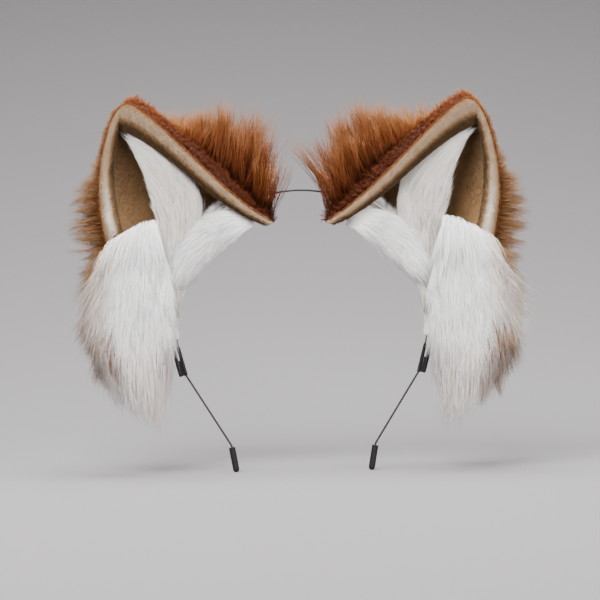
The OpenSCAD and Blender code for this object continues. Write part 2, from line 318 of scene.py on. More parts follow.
def hairs(name, side, body, material, paths, radius, tones, seed):
    """Tapered hairs along paths, an array of hair, step, X Y Z. radius is at the root, per hair."""
    rng = np.random.default_rng(seed)
    count, steps = paths.shape[:2]
    rings = steps - 1
    along = unit(np.gradient(paths, axis=1))
    a = unit(np.cross(along, unit(rng.normal(size=(count, 1, 3)))))
    b = np.cross(along, a)
    taper = np.sqrt(1 - np.linspace(0, 1, steps)[:rings] ** 2)
    reach = (np.broadcast_to(radius, (count,))[:, None] * taper)[..., None, None]
    turn = np.arange(HAIR_SIDES) * 2 * math.pi / HAIR_SIDES
    ring = a[:, :rings, None] * np.cos(turn)[:, None] + b[:, :rings, None] * np.sin(turn)[:, None]
    around = paths[:, :rings, None] + ring * reach
    tip = rings * HAIR_SIDES
    points = np.concatenate([around.reshape(count, tip, 3), paths[:, -1:]], axis=1)

    corners, totals, spots = hair_faces(rings)
    loops = np.array(corners)[None] + np.arange(count)[:, None] * (tip + 1)
    starts = np.concatenate([[0], np.cumsum(np.tile(totals, count))[:-1]])
    obj = new_object(name, points, loops.ravel(), starts, side, body, material)
    spots = np.array(spots, float) / [HAIR_SIDES, rings]
    uv = np.empty((count, len(corners), 2), np.float32)
    margin, strip = 0.01, 0.02
    uv[..., 0] = margin + (1 - 2 * margin - strip) * np.clip(tones, 0, 1)[:, None] + strip * spots[:, 0]
    uv[..., 1] = margin + (1 - 2 * margin) * spots[:, 1]
    if side == "left":
        uv = flipped_corners(uv, totals)
    layer_uv = obj.data.uv_layers.new(name=HAIR_UV)
    layer_uv.data.foreach_set("uv", uv.ravel())
    return obj


def hair_faces(rings):
    """One hair's face corners, the corners in each face, and each corner's place round and along it."""
    corners, totals, spots = [], [], []
    n = HAIR_SIDES
    last = (rings - 1) * n
    for i in range(rings - 1):
        for k in range(n):
            m = (k + 1) % n
            corners += [i * n + k, i * n + m, i * n + n + m, i * n + n + k]
            totals.append(4)
            spots += [(k, i), (k + 1, i), (k + 1, i + 1), (k, i + 1)]
    for k in range(n):
        corners += [last + k, last + (k + 1) % n, rings * n]
        totals.append(3)
        spots += [(k, rings - 1), (k + 1, rings - 1), (k + 0.5, rings)]
    corners += [2, 1, 0]
    totals.append(3)
    spots += [(2, 0), (1, 0.05), (0, 0)]
    return corners, totals, spots


def flipped_corners(uv, totals):
    """The corners' order after the faces were turned over: the first stays, the others reverse."""
    order, start = [], 0
    for total in totals:
        order += [start] + list(range(start + total - 1, start, -1))
        start += total
    return uv[:, order]


# ---- Growing hair ----


def scatter(rng, count, us, vs, surface):
    """Random u and v, spread evenly over the area of surface(u, v)."""
    tries = count * 4
    u, v = rng.uniform(*us, tries), rng.uniform(*vs, tries)
    area = np.linalg.norm(slopes(surface, u, v), axis=-1)
    keep = rng.uniform(0, 1, tries) < area / np.quantile(area, 0.98)
    return u[keep][:count], v[keep][:count]


def slopes(surface, u, v):
    """A surface's normal, as long as its stretch there."""
    du = surface(u + NUDGE, v) - surface(u - NUDGE, v)
    dv = surface(u, v + NUDGE) - surface(u, v - NUDGE)
    return np.cross(du, dv)


def grow(roots, first, last, length, steps):
    """Hairs that leave their roots in the direction first and bend evenly to the direction last."""
    t = np.linspace(0, 1, steps)[None, :, None]
    way = first[:, None] * (t - t * t / 2) + last[:, None] * t * t / 2
    return roots[:, None] + col(length)[:, None] * way


def gather(rng, paths, size, strength, power=1.5):
    """Pulls hairs together towards their ends, in locks of about size hairs."""
    count, steps = paths.shape[:2]
    batch = 2000
    picked = rng.choice(count, max(2, count // size), replace=False)
    roots, centres = paths[:, 0], paths[picked, 0]
    nearest = np.empty(count, int)
    for start in range(0, count, batch):
        apart = roots[start : start + batch, None] - centres[None]
        nearest[start : start + batch] = np.argmin((apart**2).sum(-1), axis=1)
    pull = (strength * rng.uniform(0.55, 1.15, len(picked)))[nearest]
    t = np.linspace(0, 1, steps)[None, :, None] ** power
    return paths + (paths[picked][nearest] - paths) * col(pull)[:, None] * t


def drift(points, wavelength, seed):
    """Smooth noise from about -1 to 1 in each direction, nearly the same for near points."""
    rng = np.random.default_rng(seed)
    count = 5
    waves = rng.normal(size=(count, 3)) * 2 * math.pi / wavelength
    phase = rng.uniform(0, 2 * math.pi, (count, 3))
    return np.sin((points @ waves.T)[..., None] + phase).sum(-2) / count**0.5


def frizz(rng, paths, size, power=1.2):
    """Small wander of each hair, growing towards its end."""
    count, steps = paths.shape[:2]
    t = np.linspace(0, 1, steps)[None, :, None]
    sway = rng.normal(size=(count, 1, 3)) * size
    turn = rng.uniform(0, 2 * math.pi, (count, 1, 1))
    curl = rng.normal(size=(count, 1, 3)) * size * 0.35
    return paths + sway * t**power + curl * np.sin(turn + t * 7) * t


# ---- Materials ----


class Nodes:
    """A node material with one Principled shader."""

    def __init__(self, name, **settings):
        self.material = bpy.data.materials.new(name)
        self.material.use_nodes = True
        self.tree = self.material.node_tree
        self.shader = self.tree.nodes["Principled BSDF"]
        for key, value in settings.items():
            self.shader.inputs[key.replace("_", " ")].default_value = value

    def add(self, kind, **settings):
        node = self.tree.nodes.new(kind)
        for key, value in settings.items():
            setattr(node, key, value)
        return node

    def link(self, out, into):
        self.tree.links.new(out, into)
        return self

    def ramp(self, factor, stops, interpolation="LINEAR"):
        """A colour ramp over (position, colour) stops."""
        node = self.add("ShaderNodeValToRGB")
        node.color_ramp.interpolation = interpolation
        elements = node.color_ramp.elements
        while len(elements) < len(stops):
            elements.new(0.5)
        for element, (position, colour) in zip(elements, stops):
            element.position = position
            element.color = (*colour, 1)
        self.link(factor, node.inputs["Fac"])
        return node.outputs["Color"]

    def blend(self, factor, a, b, mode="MIX"):
        """Mixes two colours, each a socket or three numbers."""
        node = self.add("ShaderNodeMix", data_type="RGBA", blend_type=mode)
        for value, socket in ((factor, node.inputs[0]), (a, node.inputs[6]), (b, node.inputs[7])):
            if isinstance(value, bpy.types.NodeSocket):
                self.link(value, socket)
            elif isinstance(value, tuple):
                socket.default_value = (*value, 1)
            else:
                socket.default_value = value
        return node.outputs[2]

    def number(self, operation, a, b):
        node = self.add("ShaderNodeMath", operation=operation)
        for value, socket in ((a, node.inputs[0]), (b, node.inputs[1])):
            if isinstance(value, bpy.types.NodeSocket):
                self.link(value, socket)
            else:
                socket.default_value = value
        return node.outputs[0]

    def noise(self, vector, scale, detail=4, roughness=0.6):
        node = self.add("ShaderNodeTexNoise")
        node.inputs["Scale"].default_value = scale
        node.inputs["Detail"].default_value = detail
        node.inputs["Roughness"].default_value = roughness
        self.link(vector, node.inputs["Vector"])
        return node.outputs["Fac"]

    def spread(self, factor, low, high, start=0, end=1):
        """Maps start to end onto low to high."""
        node = self.add("ShaderNodeMapRange")
        node.inputs["From Min"].default_value = start
        node.inputs["From Max"].default_value = end
        node.inputs["To Min"].default_value = low
        node.inputs["To Max"].default_value = high
        self.link(factor, node.inputs["Value"])
        return node.outputs["Result"]

    def bump(self, height, strength, distance):
        node = self.add("ShaderNodeBump")
        node.inputs["Strength"].default_value = strength
        node.inputs["Distance"].default_value = distance
        self.link(height, node.inputs["Height"])
        self.link(node.outputs["Normal"], self.shader.inputs["Normal"])
        return self

    def place(self):
        return self.add("ShaderNodeTexCoord").outputs["Object"]


def srgb(*values):
    """Three 0 to 255 display values as scene-linear numbers."""
    return tuple(
        v / 255 / 12.92 if v / 255 <= 0.04045 else ((v / 255 + 0.055) / 1.055) ** 2.4 for v in values
    )


def hair_material(name, *ramps, rough=0.6, sheen=0.0, shine=0.15, streaks=0.28):
    """Hair whose colour runs from root to tip through a ramp's stops: the first for tone 0, the last
    for tone 1, and the others evenly between."""
    n = Nodes(name, Sheen_Weight=sheen, Sheen_Roughness=0.4, Specular_IOR_Level=shine)
    uv = n.add("ShaderNodeUVMap", uv_map=HAIR_UV).outputs["UV"]
    split = n.add("ShaderNodeSeparateXYZ")
    n.link(uv, split.inputs[0])
    tone, way = split.outputs["X"], split.outputs["Y"]
    stretch = n.add("ShaderNodeMapping")
    stretch.inputs["Scale"].default_value = (60, 4, 1)
    n.link(uv, stretch.inputs["Vector"])
    streak = n.noise(stretch.outputs["Vector"], 1.0, detail=3)
    base = n.ramp(way, ramps[0])
    for k, stops in enumerate(ramps[1:]):
        share = n.spread(tone, 0, 1, start=k / (len(ramps) - 1), end=(k + 1) / (len(ramps) - 1))
        base = n.blend(share, base, n.ramp(way, stops))
    shade = n.ramp(streak, [(0.3, (1 - streaks,) * 3), (0.7, (1, 1, 1))])
    n.link(n.blend(1.0, base, shade, "MULTIPLY"), n.shader.inputs["Base Color"])
    n.link(n.spread(streak, rough - 0.08, rough + 0.1), n.shader.inputs["Roughness"])
    return n.material


def cloth_material(name, low, high, thread=0.7, fuzz=0.9, sheen=0.3, middle=None):
    """Felted or knitted cloth: two colours in soft patches, a thread pattern and loose fibres.
    With a middle colour, it goes from low through middle to high by its mesh's tone instead."""
    n = Nodes(name, Sheen_Weight=sheen, Sheen_Roughness=0.5, Specular_IOR_Level=0.2)
    place = n.place()
    patch = n.noise(place, 90, detail=3)
    fibre = n.noise(place, 2600, detail=5, roughness=0.75)
    cell = n.add("ShaderNodeTexVoronoi")
    cell.inputs["Scale"].default_value = 1 / (thread * MM)
    n.link(place, cell.inputs["Vector"])
    knot = cell.outputs["Distance"]
    if middle:
        tone = n.add("ShaderNodeAttribute", attribute_name=TONE).outputs["Fac"]
        tone = n.number("ADD", tone, n.spread(patch, -0.08, 0.08))
        colour = n.ramp(tone, [(0, low), (0.5, middle), (1, high)])
    else:
        colour = n.blend(patch, low, high)
    colour = n.blend(n.spread(fibre, 0.0, 0.5), colour, tuple(c * 0.55 for c in low))
    n.link(colour, n.shader.inputs["Base Color"])
    n.link(n.spread(fibre, 0.8, 1.0), n.shader.inputs["Roughness"])
    height = n.number("ADD", n.number("MULTIPLY", knot, 0.6), n.number("MULTIPLY", fibre, fuzz))
    n.bump(height, 0.6, thread * MM * 0.5)
    return n.material


def wire_material():
    n = Nodes("coated_wire", Metallic=0.3, Specular_IOR_Level=0.3)
    place = n.place()
    speck = n.noise(place, 1800, detail=4)
    worn = n.noise(place, 60, detail=6, roughness=0.7)
    dull = n.blend(worn, srgb(34, 31, 31), srgb(52, 48, 48))
    n.link(n.blend(n.spread(speck, 0, 0.4), dull, srgb(24, 22, 22)), n.shader.inputs["Base Color"])
    n.link(n.spread(speck, 0.28, 0.5), n.shader.inputs["Roughness"])
    n.bump(speck, 0.25, 0.00005)
    return n.material


def rubber_material(name, low, high, rough):
    n = Nodes(name, Specular_IOR_Level=0.2)
    place = n.place()
    grain = n.noise(place, 2400, detail=4)
    mark = n.noise(place, 140, detail=5, roughness=0.7)
    n.link(n.blend(mark, low, high), n.shader.inputs["Base Color"])
    n.link(n.spread(grain, rough - 0.1, rough + 0.12), n.shader.inputs["Roughness"])
    n.bump(grain, 0.35, 0.0001)
    return n.material


def foam_material():
    n = Nodes("open_foam", Roughness=0.95, Specular_IOR_Level=0.15)
    place = n.place()
    cell = n.add("ShaderNodeTexVoronoi")
    cell.inputs["Scale"].default_value = 1800
    n.link(place, cell.inputs["Vector"])
    # Painted shade: each pore's pit is coloured darker than the foam round it.
    pore_shade = n.ramp(cell.outputs["Distance"], [(0.15, srgb(84, 82, 80)), (0.6, srgb(148, 145, 141))])
    n.link(pore_shade, n.shader.inputs["Base Color"])
    n.bump(cell.outputs["Distance"], 0.8, 0.0004)
    return n.material


CROWN_HAIR = hair_material(
    "crown_hair",
    [(0, srgb(30, 10, 3)), (0.45, srgb(76, 30, 9)), (0.8, srgb(100, 50, 19)), (1, srgb(116, 78, 44))],
    [(0, srgb(80, 35, 11)), (0.4, srgb(132, 69, 25)), (0.75, srgb(152, 96, 47)), (1, srgb(150, 114, 78))],
)
SIDE_HAIR = hair_material(
    "side_hair",
    [(0, srgb(60, 28, 9)), (0.4, srgb(108, 66, 32)), (1, srgb(142, 106, 74))],
    [(0, srgb(110, 68, 34)), (0.4, srgb(154, 112, 70)), (1, srgb(180, 150, 120))],
)
WHITE_HAIR = hair_material(
    "white_hair",
    [
        (0, srgb(222, 212, 200)),
        (0.35, srgb(204, 180, 156)),
        (0.7, srgb(148, 106, 72)),
        (1, srgb(156, 118, 86)),
    ],
    [(0, srgb(246, 245, 243)), (0.6, srgb(252, 251, 250)), (1, srgb(252, 252, 251))],
    rough=0.6,
    sheen=0.5,
    streaks=0.08,
)
# A darker copy of the white hair: painted shade for the tuft deep in the ear's hollow. Its tone 0 ramp
# gives the tuft's few dark hairs.
SHADED_WHITE_HAIR = hair_material(
    "shaded_white_hair",
    [(0, srgb(160, 138, 120)), (0.5, srgb(90, 66, 48)), (1, srgb(60, 42, 30))],
    [(0, srgb(214, 206, 198)), (0.6, srgb(226, 220, 214)), (1, srgb(230, 226, 221))],
    rough=0.6,
    sheen=0.3,
    streaks=0.12,
)
# The first ramp is mostly painted shade, for the edging's inner edge; the middle is its own tan and the
# last its whitish strip.
RIM_HAIR = hair_material(
    "rim_hair",
    [(0, srgb(46, 30, 16)), (0.6, srgb(72, 50, 29)), (1, srgb(86, 62, 39))],
    [(0, srgb(112, 82, 50)), (0.6, srgb(152, 118, 80)), (1, srgb(172, 140, 104))],
    [(0, srgb(186, 172, 152)), (0.5, srgb(214, 203, 186)), (1, srgb(222, 214, 202))],
    rough=0.75,
)
# The first ramp is the lining's painted shade, the middle its own brown, the last painted light for the
# shaded hollow behind the tuft.
LINING_HAIR = hair_material(
    "lining_hair",
    [(0, srgb(76, 54, 32)), (1, srgb(90, 65, 39))],
    [(0, srgb(136, 102, 65)), (1, srgb(150, 115, 76))],
    [(0, srgb(202, 168, 126)), (1, srgb(218, 186, 144))],
    rough=0.8,
)
CURL_HAIR = hair_material(
    "curl_hair",
    [(0, srgb(26, 9, 3)), (0.6, srgb(66, 25, 8)), (1, srgb(90, 42, 18))],
    [(0, srgb(88, 38, 14)), (0.6, srgb(136, 66, 26)), (1, srgb(158, 94, 50))],
    rough=0.65,
)
BROWN_BACKING = cloth_material("brown_backing", srgb(50, 20, 8), srgb(80, 36, 14))
# low is the lining's painted shade, middle its own brown, high painted light for the shaded hollow behind
# the tuft.
LINING_CLOTH = cloth_material(
    "lining_cloth", srgb(66, 46, 26), srgb(206, 172, 130), 0.5, sheen=0.1, middle=srgb(136, 102, 66)
)
# low is mostly painted shade, for the edging's inner edge; middle is its own tan and high its whitish
# strip.
RIM_CLOTH = cloth_material(
    "rim_cloth", srgb(60, 40, 22), srgb(216, 205, 188), 0.5, sheen=0.1, middle=srgb(146, 112, 74)
)
WHITE_PELT = cloth_material("white_pelt", srgb(222, 218, 212), srgb(240, 238, 235), thread=0.6)
FELT = cloth_material("felt", srgb(206, 200, 190), srgb(228, 224, 216), thread=0.9)
THREAD = cloth_material("thread", srgb(226, 220, 210), srgb(240, 236, 230), thread=0.25)
FOAM = foam_material()
WIRE = wire_material()
RUBBER = rubber_material("soft_rubber", srgb(10, 9, 9), srgb(20, 18, 18), 0.66)
CLAMP = rubber_material("shrink_sleeve", srgb(10, 9, 9), srgb(20, 18, 18), 0.5)

CAD_LOOKS = {"wire": WIRE, "end_clamp": CLAMP, "rubber_tip": RUBBER}
for node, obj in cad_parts.items():
    for ending, material in CAD_LOOKS.items():
        if node.endswith(ending):
            obj.data.materials.clear()
            obj.data.materials.append(material)

# ---- Cloth and foam layers ----


def ear_sheet(name, side, material, us, vs, near, far, replaced, surface=layer):
    """A cloth or foam layer of the ear, with round edges, from one v to the other."""
    count = (60, 96)

    def place(t, k):
        side_way = np.clip(np.cos(2 * math.pi * k) * 1.02, -1, 1)
        return mix(us[0], us[1], 0.5 + 0.5 * np.sin(0.5 * math.pi * side_way)), mix(vs[0], vs[1], t)

    def section(t, k):
        u, v = place(t, k)
        out = mix(near, far, 0.5 + 0.5 * np.clip(np.sin(2 * math.pi * k) * 6, -1, 1))
        quilt = 0.12 * drift(ear_back(u, v), 14, 5)[:, 0]
        return surface(u, v, out + quilt)

    obj = slab(f"{side}_{name}", side, f"{side}_ear", material, section, count)
    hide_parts(f"{side}_{replaced}")
    u, v = place(*slab_grid(count))
    set_tone(obj, lining_light_and_shade(u, v))
    return obj


def lining_light_and_shade(u, v):
    """Painted light and shade on the lining: it gets darker towards the tip, as painted shade, and is
    lightest behind the white tuft, as painted light in the shaded hollow.
    """
    height = ear_back(u, v)[:, 2]
    # Painted shade grows with height; painted light is added where u is small, behind the tuft.
    return np.clip(0.6 - 0.4 * ease(35, 95, height) + 0.6 * (1 - ease(0.25, 0.5, u)), 0, 1)


def ear_layers(side):
    us, vs = (0.13, 0.985), (0, 0.87)
    foam = ear_sheet("foam", side, FOAM, us, vs, FOAM_NEAR, FOAM_FAR, "foam_core")
    us, vs = (0, 1), (0, TIP_LIMIT)
    back = ear_sheet("backing", side, BROWN_BACKING, us, vs, COVER_NEAR, COVER_FAR,
                     "back_cover", cover)
    us, vs = (0.13, 0.965), (0, 0.85)
    inside = ear_sheet("lining_cloth", side, LINING_CLOTH, us, vs, LINING_NEAR, LINING_FAR,
                       "lining")


def rim_tone_and_shade(s, t):
    """Tan, with a darker line along the ear's edge, painted shade along the inner edge where the roll turns
    away, and a whitish strip down the outer side of the ear.
    """
    low_side = ease(0.6, 0.76, s) * (1 - ease(0.96, 1, s))
    # The drop towards t = 1 is painted shade on the inner edge of the rolled edging.
    tan_and_shade = 0.62 - 0.6 * ease(0.45, 0.8, t) - 0.25 * (1 - ease(0.0, 0.2, t))
    return tan_and_shade + 0.55 * low_side * np.sin(math.pi * np.clip((t - 0.2) / 0.8, 0, 1))


def rim(side):
    """The plush edging: a rolled strip, wrapped round the ear's edge as far as the fur's backing."""
    count = (150, 24)

    def across_at(k):
        return 0.5 + 0.5 * np.clip(np.cos(2 * math.pi * k) * 1.05, -1, 1)

    def section(t, k):
        turn = 2 * math.pi * k
        across = across_at(k)
        front = rim_face(t, across)
        back_y = mix(SET_BACK + 0.4, RIM_T * 0.35, ease(0.0, 0.5, across))
        back = mix(outline(t), small_outline(t), col(across)) + point(0, 1, 0) * col(back_y)
        fold = 0.12 * drift(front, 9, 8)[:, :1]
        round_front, flat_back = np.sin(turn), np.clip(5 * np.sin(turn), -1, 0)
        depth = 0.5 + 0.5 * np.where(turn < math.pi, round_front, flat_back)
        return mix(back, front, col(depth)) + fold * point(0, 1, 0)

    obj = slab(f"{side}_rim", side, f"{side}_ear", RIM_CLOTH, section, count)
    s, k = slab_grid(count)
    set_tone(obj, rim_tone_and_shade(s, across_at(k)))
    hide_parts(f"{side}_rim_binding")


FELT_FRONT, FELT_BELOW, FELT_T = -4.8, 0.5, 1.0


def base_felt(side):
    """The felt floor of the ear, curved round the hoop between the lining and the cover."""
    us = (0.14, 0.985)

    def section(t, k):
        edge = layer(mix(us[0], us[1], t), 0 * t, COVER_FAR + 0.4)
        angle = np.degrees(np.arctan2(edge[:, 2], edge[:, 0]))
        turn = 2 * math.pi * k
        across = 0.5 + 0.5 * np.clip(np.cos(turn) * 1.1, -1, 1)
        radius = BASE_R - FELT_BELOW - FELT_T * (0.5 - 0.5 * np.clip(np.sin(turn) * 3, -1, 1))
        return on_hoop(radius, angle, mix(FELT_FRONT, edge[:, 1], across))

    obj = slab(f"{side}_base_felt", side, f"{side}_ear", FELT, section, (40, 40))
    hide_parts(f"{side}_base_panel")


# ---- Sleeve on the hoop, with its whip stitches ----

SLEEVE_FROM, SLEEVE_TO = -9.0, 66.0
SLEEVE_DEEP, SLEEVE_HIGH = 8.0, 4.0
STITCHES = 15
STITCH_PITCH = (SLEEVE_TO - SLEEVE_FROM) / STITCHES


def sleeve_point(angle, turn, grow=0.0):
    """Round the rounded-rectangle outline of the sleeve, by turn in radians; stitches pinch it."""
    x, y = np.cos(turn), np.sin(turn)
    squareness = 3.2
    square = (np.abs(x) ** squareness + np.abs(y) ** squareness) ** (-1 / squareness)
    phase = ((angle - SLEEVE_FROM) / STITCH_PITCH) % 1 - 0.5
    pinch = 1 - 0.07 * np.exp(-((phase / 0.16) ** 2))
    out = x * square * (SLEEVE_HIGH / 2 * pinch + grow)
    y = y * square * (SLEEVE_DEEP / 2 * pinch + grow)
    return on_hoop(HOOP_R + out, angle, y)


def sleeve(side):
    def section(t, k):
        return sleeve_point(mix(SLEEVE_FROM, SLEEVE_TO, t), 2 * math.pi * k)

    obj = slab(f"{side}_sleeve", side, f"{side}_carrier", FELT, section, (180, 40))
    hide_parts(f"{side}_base_sleeve")


def stitches(side):
    """One twisted thread loop round the sleeve per stitch, leaning a little."""
    rings, sides, radius, above = 40, 8, 0.2, 0.28
    points, faces = [], []
    for stitch in range(STITCHES):
        turn = np.arange(rings) / rings * 2 * math.pi
        angle = SLEEVE_FROM + (stitch + 0.5) * STITCH_PITCH + 0.7 * np.sin(turn)
        line = sleeve_point(angle, turn, above)
        along = unit(np.roll(line, -1, 0) - np.roll(line, 1, 0))
        out = unit(np.cross(along, np.cross(line - on_hoop(HOOP_R, angle), along)))
        k = np.arange(sides) / sides * 2 * math.pi
        twist = radius * (1 + 0.18 * np.cos(2 * k[None] + 14 * turn[:, None]))
        ring = out[:, None] * np.cos(k)[:, None] + np.cross(along, out)[:, None] * np.sin(k)[:, None]
        points.append((line[:, None] + ring * twist[..., None]).reshape(-1, 3))
        faces.append(grid_faces(rings, sides, True, True) + stitch * rings * sides)
    faces = np.concatenate(faces)
    obj = new_object(f"{side}_stitches", np.concatenate(points), faces.ravel(),
                     np.arange(len(faces)) * 4, side, f"{side}_carrier", THREAD)
    fix_normals(obj.data)
    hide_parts(f"{side}_sleeve_stitches")


# ---- Short pile ----

PILE_RADIUS = 0.09


def pile(name, side, material, surface, us, vs, count, length, tone, seed, facing, lean=0.5):
    """Short upright fibres over surface(u, v), on the side that facing(u, v) points to.
    tone(u, v) is from 0 to 1."""
    rng = np.random.default_rng(seed)
    u, v = scatter(rng, count, us, vs, surface)
    roots = surface(u, v)
    out = unit(slopes(surface, u, v))
    out = out * np.sign((out * facing(u, v)).sum(-1, keepdims=True))
    sway = drift(roots, 7, seed) * lean
    way = unit(out + sway + rng.normal(size=roots.shape) * 0.3)
    bent = unit(way + sway * 0.8 + rng.normal(size=roots.shape) * 0.25)
    paths = grow(roots, way, bent, length * rng.uniform(0.7, 1.2, len(roots)), PILE_STEPS)
    tones = tone(u, v) + rng.normal(0, 0.06, len(roots))
    return hairs(f"{side}_{name}", side, f"{side}_ear", material, paths, PILE_RADIUS, tones, seed)


def rim_pile(side, seed):
    def facing(s, t):
        return point(0, -1, 0)

    pile("rim_pile", side, RIM_HAIR, rim_face, (0.004, 0.996), (0.02, 0.97), 19500, 1.2,
         rim_tone_and_shade, seed, facing)


def rim_edge_pile(side, seed):
    """Brown fibres that fold over the outer edge of the edging."""

    def surface(s, t):
        return outline(s) + point(0, 1, 0) * col(mix(-RIM_T * 0.45, SET_BACK, t))

    def tone(s, t):
        return 0.8 - 0.5 * t

    def facing(s, t):
        return outline(s) - small_outline(s)

    pile("rim_edge_pile", side, CURL_HAIR, surface, (0.01, 0.99), (0, 1), 12000, 1.0,
         tone, seed, facing)


def lining_pile(side, seed):
    def surface(u, v):
        return layer(u, v, LINING_NEAR)

    def facing(u, v):
        return -ear_out(u, v)

    pile("lining_pile", side, LINING_HAIR, surface, (0.14, 0.955), (0.01, 0.84), 17000, 1.0,
         lining_light_and_shade, seed, facing)


def base_pile(side, seed):
    """White fur in the bottom of the ear's hollow."""

    def surface(u, v):
        edge = layer(u, 0 * u, LINING_NEAR)
        angle = np.degrees(np.arctan2(edge[:, 2], edge[:, 0]))
        return on_hoop(BASE_R - FELT_BELOW, angle, mix(FELT_FRONT, edge[:, 1], v))

    def tone(u, v):
        return 0.9

    def facing(u, v):
        return surface(u, v) * point(1, 0, 1)

    pile("base_pile", side, WHITE_HAIR, surface, (0.15, 0.95), (0.02, 0.98), 9000, 5.0,
         tone, seed, facing)


def edge_curls(side, seed):
    """Short curly pile on the strip between the edging and the long fur."""
    rng = np.random.default_rng(seed)
    u, v = scatter(rng, 6200, (0.0, 0.115), (0.0, TIP_LIMIT), cover_top)
    roots, out = cover_top(u, v), ear_out(u, v)
    corner = col(1 - ease(0.0, 0.07, v))
    first = unit(out + point(0, 0, 0.3) + drift(roots, 8, seed) * 0.5 + rng.normal(size=roots.shape) * 0.35)
    last = unit(first + drift(roots, 6, seed + 1) + rng.normal(size=roots.shape) * 0.5)
    first = unit(first - point(0.9, 0, 0) * corner)
    last = unit(last - point(0.9, 0, -0.4) * corner)
    length = mix(4.2, 2.0, v) * rng.uniform(0.7, 1.2, len(u))
    steps = HAIR_STEPS + 1
    paths = gather(rng, grow(roots, first, last, length, steps), 14, 0.5)
    t = np.linspace(0, 1, steps)[None, :, None]
    turn = rng.uniform(0, 6.3, (len(u), 1, 1)) + t * 9
    a = unit(np.cross(first, rng.normal(size=first.shape)))[:, None]
    paths = paths + (a * np.cos(turn) + np.cross(first, a[:, 0])[:, None] * np.sin(turn)) * 0.4 * t
    tones = 0.1 + 0.75 * ease(0.4, 0.95, v) + rng.normal(0, 0.13, len(u))
    obj = hairs(f"{side}_edge_curls", side, f"{side}_ear", CURL_HAIR, paths, 0.1, tones, seed)
    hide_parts(f"{side}_edge_plush")


# ---- Long fur on the back of the ear ----

INWARD_LEAN = {"left": 0.14, "right": 0.3}
LOCKLET = 7  # hairs in the small locks within a lock


def crown_way(side, u, v):
    """Hair stands nearly upright at the crown edge and leans out and back further round."""
    out = ear_out(u, v)
    back = ease(0.25, 0.6, u)
    near_corner = 1 - ease(0.0, 0.55, v)
    up = point(0, 0, 1) - point(1, 0, 0) * col(INWARD_LEAN[side] * near_corner)
    first = unit(out * col(mix(0.75, 1.0, back)) + up * col(mix(1.0, 0.35, back)))
    last = unit(out * col(mix(0.25, 0.6, back)) + up * col(mix(1.0, -0.1, back)) - point(0, 0.1, 0))
    return first, last


def crown_fur(side, name, count, length, radius, tone_shift, lock, seed, stray, steps=HAIR_STEPS):
    """Fur on the inner side and the back. lock is how many hairs stick together, and stray is how
    far a hair's direction wanders at its tip."""
    rng = np.random.default_rng(seed)
    u, v = scatter(rng, count, (0.005, 0.68), (0.0, TIP_LIMIT), cover_top)
    grown = u > mix(0.0, 0.085, ease(0.0, 0.45, v)) * rng.uniform(0.7, 1.3, len(u))
    u, v = u[grown], v[grown]
    roots = cover_top(u, v)
    first, last = crown_way(side, u, v)
    wave = drift(roots, 16, seed)
    first = unit(first + wave * 0.16 + rng.normal(size=roots.shape) * 0.1)
    last = unit(last + wave * 0.3 + rng.normal(size=roots.shape) * stray)
    at_edge = 1 - 0.45 * ease(0.25, 0.6, u)
    back = 0.2 * ease(0.2, 0.45, u)
    tall = mix(1.0, 0.14, ease(0, 1, (v - 0.2 - back) / 0.4)) * at_edge
    paths = grow(roots, first, last, length * tall * rng.uniform(0.6, 1.12, len(u)), steps)
    paths = gather(rng, paths, lock, 0.45)
    paths = gather(rng, paths, LOCKLET, 0.5, 1.0)
    paths = frizz(rng, paths, 0.6)
    light = 0.22 + 0.5 * ease(0.15, 0.6, v) + 0.15 * ease(0.12, 0.4, u) + tone_shift
    tones = light + 0.2 * drift(roots, 12, seed + 3)[:, 0] + rng.normal(0, 0.13, len(u))
    return hairs(f"{side}_{name}", side, f"{side}_ear", CROWN_HAIR, paths, radius, tones, seed)


def side_fur(side, name, count, length, radius, lock, seed, stray, steps=HAIR_STEPS):
    """Fur on the outer side, which sticks out and hangs lower towards the bottom."""
    rng = np.random.default_rng(seed)
    u, v = scatter(rng, count, (0.64, 0.998), (0.0, 0.93), cover_top)
    roots, out = cover_top(u, v), ear_out(u, v)
    droop = point(0, 0, 1) * col(mix(-0.7, 0.04, ease(0.0, 0.45, v)))
    wave = drift(roots, 14, seed)
    low_edge = ease(0.7, 0.95, u) * (1 - ease(0.1, 0.5, v))
    push = point(1, -0.1, 0) * col(0.4 + low_edge)
    first = unit(out + push * 0.6 + droop * 0.3 + wave * 0.12 + rng.normal(size=roots.shape) * 0.08)
    last = unit(out * 0.5 + push * 1.3 + droop + wave * 0.25 + rng.normal(size=roots.shape) * stray)
    tall = mix(1.0, 0.12, ease(0.45, 0.76, v)) * mix(1.75, 1, ease(0.04, 0.35, v))
    paths = grow(roots, first, last, length * tall * rng.uniform(0.55, 1.1, len(u)), steps)
    paths = gather(rng, paths, lock, 0.6)
    paths = gather(rng, paths, 6, 0.5, 1.0)
    paths = frizz(rng, paths, 0.4)
    tones = 0.35 + 0.25 * drift(roots, 10, seed + 3)[:, 0] + rng.normal(0, 0.18, len(u))
    return hairs(f"{side}_{name}", side, f"{side}_ear", SIDE_HAIR, paths, radius, tones, seed)


# ---- White fur ----


def pelt(side, name, shape, vs, replaced):
    """The backing that a tongue of fur grows from, inside it."""

    def section(t, k):
        turn = 2 * math.pi * k
        u = 0.5 + 0.3 * np.cos(turn)
        w = 0.46 + 0.22 * np.sin(turn)
        return shape.at(u, mix(vs[0], vs[1], t), w)

    obj = slab(f"{side}_{name}_pelt", side, f"{side}_ear", WHITE_PELT, section, (40, 24))
    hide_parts(f"{side}_{replaced}")


